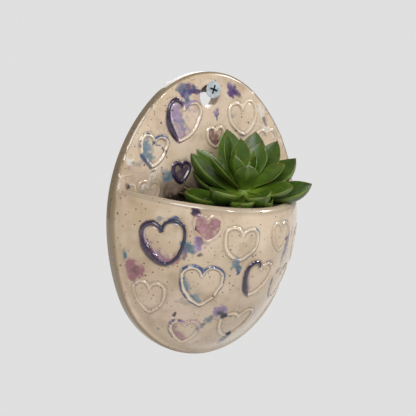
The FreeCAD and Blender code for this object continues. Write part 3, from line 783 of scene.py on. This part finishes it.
def make_leaf(index, row, material):
    azimuth, rise, length_share, width_share, height = row
    length = length_share * LEAF_LENGTH + ROOT
    width = width_share * LEAF_WIDTH * WIDER
    thick = width_share * LEAF_THICKNESS
    steps = np.concatenate([np.linspace(0, 0.8, 18), 0.8 + 0.2 * np.linspace(0, 1, 13)[1:] ** 0.8])
    table = np.array(LEAF_SHAPE)
    breadth, depth = (np.interp(steps, table[:, 0], table[:, i])[:, None] for i in (1, 2))
    around = 26
    across, upward = fan(0, 2 * math.pi, around).T
    generator = np.random.default_rng(100 + index)
    tone = generator.uniform(0, 1)
    lean = generator.uniform(-0.4, 0.4)
    cup = generator.uniform(0.8, 1.2)

    # the spine, then the rings around it, which are fuller below on the lower leaves
    before = np.concatenate([[0], steps[:-1]])
    slope = np.radians(LEAF_BEND * (steps + before - 1))
    x = np.cumsum((steps - before) * length * np.cos(slope))[:, None] - ROOT
    z = np.cumsum((steps - before) * length * np.sin(slope))[:, None]
    bend = np.radians(LEAF_BEND * (2 * steps - 1))[:, None]
    full = 2.9 if height < 0.28 else 1.3 if height < 0.38 else 0.6
    keel = 0.55 * (1 - np.abs(across)) ** 1.5 * smooth(steps, 0.3, 0.75)[:, None]
    lift = 0.5 * depth * thick * upward * np.where(upward >= 0, 0.45, full + keel)
    lift += cup * breadth * width * (0.13 * across ** 2 - 0.02)
    side = across * breadth * width / 2 + lean * np.sin(steps * 3.1)[:, None]
    points = np.stack([x - np.sin(bend) * lift, side, z + np.cos(bend) * lift], -1).reshape(-1, 3)
    points[:, 2] += (grain(points + index * 37.0, 7, 21) - 0.5) * 0.35
    rows = len(steps)
    faces = skin(rows, around, closed=True)
    first, last = len(points), len(points) + 1
    end = points[-around:].mean(0) + [0.25, 0, 0.1]
    points = np.concatenate([points, [points[:around].mean(0)], [end]])
    for column in range(around):
        following = (column + 1) % around
        faces.append((first, following, column))
        faces.append((last, (rows - 1) * around + column, (rows - 1) * around + following))
    turn = leaf_turn(azimuth, rise)
    placed = points @ np.array(leaf_roll(turn) @ turn).T
    up = height * CROWN_LENGTH
    radius = CROWN_FOOT - (CROWN_FOOT - CROWN_TOP) * height
    out = math.radians(azimuth)
    placed += PLANT + np.array([radius * math.cos(out), radius * math.sin(out), up])
    layers = {
        "along": [*np.repeat(steps, around), 0, 1],
        "edge": [*np.tile(np.abs(across) ** 3, rows), 0, 0],
        "under": [*np.tile(upward < 0, rows), 0, 0],
        "young": [smooth(height, 0.35, 0.9)] * len(placed),
        "tone": [tone] * len(placed),
    }
    make_object(
        "leaf_%02d_blade" % index, placed, [face[::-1] for face in faces], "plant",
        material, layers, ["leaf_%02d" % index],
    )


# One material and the nodes that make it up
class Tree:
    def __init__(self, name):
        self.material = bpy.data.materials.new(name)
        self.material.use_nodes = True
        self.nodes = self.material.node_tree.nodes
        self.links = self.material.node_tree.links
        self.nodes.clear()

    def feed(self, socket, value):
        if isinstance(value, bpy.types.NodeSocket):
            self.links.new(value, socket)
        else:
            socket.default_value = value

    def node(self, kind, *inputs, **settings):
        made = self.nodes.new("ShaderNode" + kind)
        for name, value in settings.items():
            setattr(made, name, value)
        for socket, value in zip(made.inputs, inputs):
            self.feed(socket, value)
        return made

    def math(self, operation, *values):
        return self.node("Math", *values, operation=operation).outputs[0]

    def times(self, a, b):
        return self.math("MULTIPLY", a, b)

    def mix(self, factor, a, b):
        made = self.node("Mix", data_type="RGBA")
        self.feed(made.inputs[0], factor)
        for socket, colour in ((made.inputs[6], a), (made.inputs[7], b)):
            self.feed(socket, (*colour, 1) if isinstance(colour, tuple) else colour)
        return made.outputs[2]

    # A soft step of a value, from the first result at the low end to the last at the high end
    def span(self, value, low, high, first=0.0, last=1.0):
        made = self.node("MapRange", interpolation_type="SMOOTHSTEP")
        for socket, given in zip(made.inputs, (value, low, high, first, last)):
            self.feed(socket, given)
        return made.outputs[0]

    # Coats of colour over a base, as shares and colours
    def coats(self, base, *rows):
        for factor, colour in rows:
            base = self.mix(factor, base, colour)
        return base

    def position(self):
        return self.node("TexCoord").outputs["Object"]

    def texture(self, kind, **values):
        made = self.node("Tex" + kind, self.position())
        for name, value in values.items():
            made.inputs[name].default_value = value
        return made

    def noise(self, scale, detail=2.0, roughness=0.5):
        return self.texture("Noise", Scale=scale, Detail=detail, Roughness=roughness).outputs["Fac"]

    def layer(self, name, output="Fac"):
        return self.node("Attribute", attribute_name=name).outputs[output]

    # Round spots in a share of the cells of a scattered grid, up to a given size in cells
    def specks(self, scale, share, size):
        cells = self.texture("Voronoi", Scale=scale)
        picked = self.node("SeparateColor", cells.outputs["Color"])
        chosen = self.math("LESS_THAN", picked.outputs[0], share)
        radius = self.math("MULTIPLY_ADD", picked.outputs[1], size * 0.75, size * 0.25)
        spot = self.math("SUBTRACT", radius, cells.outputs["Distance"])
        return self.times(self.span(spot, 0.0, size * 0.35), chosen)

    def finish(self, colour, roughness, bump=None, bump_distance=0.0, **constants):
        shader = self.node("BsdfPrincipled")
        self.feed(shader.inputs["Base Color"], colour)
        self.feed(shader.inputs["Roughness"], roughness)
        for name, value in constants.items():
            shader.inputs[name.replace("_", " ")].default_value = value
        if bump is not None:
            bumped = self.node("Bump")
            bumped.inputs["Distance"].default_value = bump_distance
            bumped.inputs["Strength"].default_value = 1.0
            self.feed(bumped.inputs["Height"], bump)
            self.links.new(bumped.outputs[0], shader.inputs["Normal"])
        self.links.new(shader.outputs[0], self.node("OutputMaterial").inputs[0])
        return self.material


def glaze():
    t = Tree("speckled_glaze")
    broad, middle, small = t.noise(22, 3, 0.55), t.noise(90, 4, 0.6), t.noise(420, 3, 0.6)
    base = t.coats(
        t.mix(t.span(broad, 0.36, 0.64), (0.52, 0.395, 0.265), (0.66, 0.53, 0.40)),
        (t.span(t.noise(28), 0.46, 0.68, 0.0, 0.5), (0.63, 0.47, 0.385)),
        (t.span(middle, 0.48, 0.74, 0.0, 0.42), (0.70, 0.59, 0.46)),
        (t.span(t.noise(60, 3, 0.6), 0.48, 0.70, 0.0, 0.55), (0.37, 0.27, 0.17)),
        # painted shade in the crease where the pocket meets the slab
        (t.times(t.layer("seam_shade"), 0.45), (0.33, 0.25, 0.15)),
        (t.times(t.layer("side"), 0.9), (0.215, 0.155, 0.085)),
        # painted shadow of the plant on the slab's front
        (t.times(t.layer("plant_shadow"), 0.97), (0.014, 0.009, 0.006)),
        (t.times(t.layer("shade"), 0.68), (0.21, 0.15, 0.085)),
        (t.times(t.span(t.layer("line"), 0.45, 0.95), 0.62), (0.84, 0.75, 0.61)),
        # painted shade on the rim's lip
        (t.times(t.layer("lip"), 0.6), (0.34, 0.275, 0.19)),
    )
    ragged = t.math("MULTIPLY_ADD", t.math("SUBTRACT", small, 0.5), 0.35, t.layer("amount"))
    stain = t.times(t.span(ragged, 0.06, 0.88), 0.99)
    tint = t.coats(
        t.layer("tint", "Color"),
        (t.span(middle, 0.45, 0.75, 0.0, 0.07), (0.50, 0.42, 0.42)), (0.16, (0.01, 0.01, 0.04)),
    )
    dots = t.math("MAXIMUM", t.specks(480, 0.66, 0.26), t.specks(270, 0.56, 0.20))
    dots = t.math("MAXIMUM", dots, t.specks(130, 0.5, 0.125))
    base = t.coats(
        base, (stain, tint), (t.times(dots, 0.85), (0.075, 0.035, 0.022)),
        (t.times(t.specks(190, 0.14, 0.15), 0.8), (0.07, 0.04, 0.11)),
    )
    rough = t.span(middle, 0.3, 0.75, 0.22, 0.36)
    height = t.math("ADD", t.times(middle, 0.75), t.times(small, 0.25))
    height = t.math("SUBTRACT", height, t.times(dots, 0.4))
    return t.finish(
        base, rough, height, 0.00035, Coat_Weight=0.8, Coat_Roughness=0.05, Coat_IOR=1.5,
    )


def flesh():
    t = Tree("succulent_flesh")
    along, edge, under, young, tone = map(t.layer, ("along", "edge", "under", "young", "tone"))
    patch, fine, veins = t.noise(130, 3, 0.55), t.noise(900), t.noise(420, 4, 0.65)
    keel = t.times(t.times(under, t.span(edge, 0.025, 0.0)), t.span(along, 0.3, 0.75, 0.0, 0.2))
    rim = t.times(t.span(edge, 0.62, 0.98), t.span(along, 0.25, 0.7, 0.0, 0.35))
    green = t.coats(
        t.mix(t.span(patch, 0.3, 0.7), (0.044, 0.088, 0.005), (0.095, 0.170, 0.010)),
        (t.span(veins, 0.42, 0.68, 0.0, 0.45), (0.020, 0.050, 0.006)),
        (t.times(tone, 0.65), (0.024, 0.056, 0.006)),
        (t.times(young, 0.6), (0.11, 0.21, 0.020)),
        (t.span(along, 0.5, 0.0, 0.0, 0.55), (0.23, 0.34, 0.035)),
        (keel, (0.27, 0.36, 0.06)),
        (rim, (0.27, 0.35, 0.07)),
        (t.times(t.span(along, 0.965, 0.998), 0.8), (0.16, 0.045, 0.025)),
        (t.span(t.noise(1300), 0.55, 0.8, 0.0, 0.16), (0.30, 0.42, 0.06)),
    )
    rough = t.span(patch, 0.3, 0.7, 0.32, 0.46)
    return t.finish(
        green, rough, t.math("MULTIPLY_ADD", fine, 0.25, veins), 0.0002, Subsurface_Weight=0.25,
        Subsurface_Scale=0.0025, Specular_IOR_Level=0.42, Coat_Weight=0.10, Coat_Roughness=0.20,
    )


def earth():
    t = Tree("potting_soil")
    coarse = t.noise(420, 5, 0.7)
    base = t.mix(t.span(coarse, 0.35, 0.7), (0.010, 0.007, 0.005), (0.055, 0.035, 0.022))
    base = t.mix(t.times(t.specks(420, 0.10, 0.30), 0.8), base, (0.16, 0.05, 0.03))
    return t.finish(base, t.span(coarse, 0.3, 0.7, 0.75, 0.95), coarse, 0.0012)


def dry():
    t = Tree("dry_leaf")
    patch = t.noise(300, 4, 0.6)
    base = t.mix(t.span(patch, 0.35, 0.65), (0.045, 0.024, 0.012), (0.12, 0.10, 0.04))
    return t.finish(base, t.span(patch, 0.3, 0.7, 0.6, 0.8), patch, 0.0004)


def zinc():
    t = Tree("zinc_plating")
    cloud, fine = t.noise(260, 4, 0.6), t.noise(1500)
    base = t.mix(t.span(cloud, 0.35, 0.7), (0.50, 0.57, 0.61), (0.66, 0.73, 0.77))
    base = t.mix(t.span(fine, 0.55, 0.8, 0.0, 0.25), base, (0.30, 0.34, 0.38))
    return t.finish(base, t.span(cloud, 0.3, 0.7, 0.24, 0.40), fine, 0.00005, Metallic=0.5)


def recess_dark():
    t = Tree("recess_shadow")
    cloud = t.noise(900, 3, 0.6)
    base = t.mix(cloud, (0.02, 0.025, 0.03), (0.09, 0.11, 0.12))
    return t.finish(base, t.span(cloud, 0.3, 0.7, 0.5, 0.7), Metallic=0.6)


# The shank's plating: painted shade within the hole, pale where a wall would hide it
def shank_shade_and_pale():
    t = Tree("shank_shade_and_pale")
    apart = t.node("SeparateXYZ", t.position())
    behind = t.span(apart.outputs[1], -0.002, 0.001)
    # painted shade in the hole, pale behind the slab
    base = t.mix(behind, (0.10, 0.085, 0.08), (0.78, 0.78, 0.78))
    return t.finish(base, t.span(t.noise(500, 3, 0.6), 0.3, 0.7, 0.45, 0.6))


# A crumbly skin over the soil, open around the stem
SOIL_STEP, SOIL_HALF_WIDTH, SOIL_REACH, STEM_ROOM = 0.8, 56, 44, 6.2


def make_topsoil(material):
    xs = np.arange(-SOIL_HALF_WIDTH, SOIL_HALF_WIDTH + 0.1, SOIL_STEP)
    ys = np.arange(FRONT_Y - SOIL_REACH, FRONT_Y - 0.3, SOIL_STEP)
    grid = np.array([(x, y, SOIL_Z) for y in ys for x in xs])
    height = grain(grid, 2.2, 31) * 1.5 + grain(grid, 6, 32) * 1.6 + grain(grid, 1.1, 33) * 0.7
    wall = grid[:, 1] - bulge_depth(grid[:, 0], grid[:, 2], WALL + 0.4)
    inside = (wall > 0.2) & (grid[:, 1] < FRONT_Y - 0.3)
    inside &= np.hypot(grid[:, 0] - PLANT[0], grid[:, 1] - PLANT[1]) > STEM_ROOM
    grid[:, 2] += 0.1 + height * smooth(wall, 0, 3)
    faces = [face for face in skin(len(ys), len(xs)) if inside[list(face)].all()]
    used = sorted({i for face in faces for i in face})
    order = {old: new for new, old in enumerate(used)}
    top = grid[used]
    bottom = top.copy()
    bottom[:, 2] = SOIL_Z - 0.2
    points, faces = close_sheet(top, bottom, [tuple(order[i] for i in face) for face in faces])
    make_object("topsoil", points, faces, "vase", material)


# Dried leaves at the rosette's left, which hang from the stem by their stalks: the base of the
# blade, its length and width, azimuth and rise
DRY_ROWS = [
    (-16, -18, -57, 9, 3.6, 168, 22), (-18, -24, -58, 8, 3, 192, 8),
    (-14, -27, -59.5, 7, 3, 215, 4), (-17, -15, -55, 7, 2.6, 150, 40),
    (-15, -13, -59, 9, 3.4, 158, 12), (-19, -21, -60.5, 8, 3.2, 182, -6),
]
STALK, DRY_HALF_THICKNESS = 0.45, 0.35


def make_dry_bits(material):
    stalk_rows, blade_rows, columns = 3, 8, 5
    rows = stalk_rows + blade_rows
    top, bottom, faces = [], [], []
    for cx, cy, cz, length, width, azimuth, rise in DRY_ROWS:
        first = len(top)
        base, stem = Vector((cx, cy, cz)), Vector((PLANT[0], PLANT[1], cz - 1.5))
        turn = leaf_turn(azimuth, rise)
        for row in range(rows):
            along = max(row - stalk_rows, 0) / (blade_rows - 1)
            origin = base.lerp(stem, max(stalk_rows - row, 0) / stalk_rows)
            half = STALK
            if row >= stalk_rows:
                half = width / 2 * math.sin(math.pi * min(along * 0.93 + 0.05, 1)) ** 0.7
                half = max(half, STALK)
            for across in np.linspace(-1, 1, columns):
                curl = 0.5 * across ** 2 * half + 1.4 * along ** 2
                for sheet, side in ((top, DRY_HALF_THICKNESS), (bottom, -DRY_HALF_THICKNESS)):
                    local = Vector((along * length, across * half, curl + side))
                    sheet.append(origin + turn @ local)
        faces += [tuple(first + i for i in face) for face in skin(rows, columns)]
    points, faces = close_sheet(top, bottom, faces)
    make_object("dry_leaf_bits", points, faces, "plant", material)


# Nodes that are carried over get their materials
def repaint(node, *materials):
    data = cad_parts[node].data
    data.materials.clear()
    for material in materials:
        data.materials.append(material)
    data.shade_smooth()
    return data


# The screw's cross recess: how far its ends lie in front of the slab, and its radius
RECESS_FRONT, RECESS_BACK, RECESS_RADIUS = 3.97, 1.9, 2.7


def paint_screw():
    mesh = repaint("wall_screw", zinc(), recess_dark(), shank_shade_and_pale())
    for polygon in mesh.polygons:
        polygon.use_smooth = False
        middle = polygon.center / MM
        in_recess = RECESS_BACK < FRONT_Y - middle.y < RECESS_FRONT
        in_recess = in_recess and math.hypot(middle.x, middle.z) < RECESS_RADIUS
        polygon.material_index = 1 if in_recess else 2 if middle.y > FRONT_Y + 2 else 0


clay, green, soil = glaze(), flesh(), earth()
make_slab(clay)
make_pocket(clay)
for number, leaf_row in enumerate(LEAF_ROWS, start=1):
    make_leaf(number, leaf_row, green)
repaint("potting_soil", soil)
repaint("plant_stem", green)
paint_screw()
make_topsoil(soil)
make_dry_bits(dry())

# Stage: a pale floor far below, lights and camera
BACKDROP = (0.745, 0.742, 0.742)
WHITE = (1.0, 1.0, 1.0)
LOOK_AT = Vector((0, -20, WIDEST_Z)) * MM
FLOOR_HALF, FLOOR_Z = 4, -0.62


# A plain colour for the camera, and another that lights the object
def glow(owner, kind, output, light, strength):
    owner.use_nodes = True
    nodes, links = owner.node_tree.nodes, owner.node_tree.links
    nodes.clear()
    mixed = nodes.new("ShaderNodeMixShader")
    links.new(nodes.new("ShaderNodeLightPath").outputs["Is Camera Ray"], mixed.inputs[0])
    for socket, colour, power in ((1, light, strength), (2, BACKDROP, 1.0)):
        plain = nodes.new(kind)
        plain.inputs[0].default_value = (*colour, 1)
        plain.inputs[1].default_value = power
        links.new(plain.outputs[0], mixed.inputs[socket])
    links.new(mixed.outputs[0], nodes.new(output).inputs[0])


def stage_floor():
    mesh = bpy.data.meshes.new("floor")
    signs = (-1, -1), (1, -1), (1, 1), (-1, 1)
    corners = [(x * FLOOR_HALF, y * FLOOR_HALF, FLOOR_Z) for x, y in signs]
    mesh.from_pydata(corners, [], [(0, 1, 2, 3)])
    floor = add_object("floor", mesh)
    material = bpy.data.materials.new("pale_floor")
    glow(material, "ShaderNodeEmission", "ShaderNodeOutputMaterial", (0.76, 0.74, 0.71), 1.0)
    mesh.materials.append(material)


# The way from the object towards a camera or lamp; azimuth runs from the front to the right
def direction(azimuth, elevation):
    a, e = math.radians(azimuth), math.radians(elevation)
    return Vector((math.sin(a) * math.cos(e), -math.cos(a) * math.cos(e), math.sin(e)))


# A lamp or camera that looks back along a direction, turned about it by a roll
def place(name, data, location, back, roll=0.0):
    made = add_object(name, data)
    made.location = location
    made.rotation_mode = "QUATERNION"
    made.rotation_quaternion = back.to_track_quat("Z", "Y") @ Quaternion((0, 0, 1), roll)
    return made


def add_lamp(name, kind, location, back, power, **settings):
    data = bpy.data.lights.new(name, kind)
    data.energy = power
    for setting, value in settings.items():
        setattr(data, setting, value)
    place(name, data, location, back)


# The photo's camera: distance in millimetres, pixels per millimetre at LOOK_AT, and the shift of
# LOOK_AT from the picture's middle in pixels
def place_camera():
    distance, picture, scale = 882, 416, 1.80
    shift_right, shift_up = -13.6, 10.1
    back = direction(-36.7, 8.53)
    data = bpy.data.cameras.new("camera")
    data.sensor_width = 36
    data.lens = data.sensor_width * distance / (picture / scale)
    data.shift_x, data.shift_y = shift_right / picture, shift_up / picture
    data.clip_start, data.clip_end = 0.05, 20
    location = LOOK_AT + back * distance * MM
    bpy.context.scene.camera = place("camera", data, location, back, math.radians(0.63))


stage_floor()
world = bpy.data.worlds.new("studio")
glow(world, "ShaderNodeBackground", "ShaderNodeOutputWorld", (0.95, 0.97, 1.0), 0.20)
bpy.context.scene.world = world
for name, azimuth, elevation, distance, width, height, power, colour in (
    ("key", 60, 32, 0.9, 0.20, 0.20, 3.5, (1.0, 0.985, 0.96)),
    ("window", -42, 36, 1.2, 0.5, 0.6, 9.0, WHITE),
    ("glint", 4, 34, 1.1, 0.11, 0.11, 2.4, WHITE),
    ("back_fill", 150, 25, 1.3, 0.8, 0.8, 4.0, WHITE),
):
    away = direction(azimuth, elevation)
    add_lamp(
        name, "AREA", LOOK_AT + away * distance, away, power, shape="RECTANGLE", size=width,
        size_y=height, color=colour,
    )
# A small spot on the screw's part that a wall would hide, which keeps it as pale as the backdrop
SPOT_AT, SHANK_AT = Vector((-0.12, 0.09, 0.03)), Vector((0, 0.026, 0))
add_lamp(
    "shank_spot", "SPOT", SPOT_AT, SPOT_AT - SHANK_AT, 0.3, spot_size=math.radians(13),
    spot_blend=0.3, shadow_soft_size=0.004,
)
place_camera()
bpy.context.scene.view_settings.view_transform = "Standard"
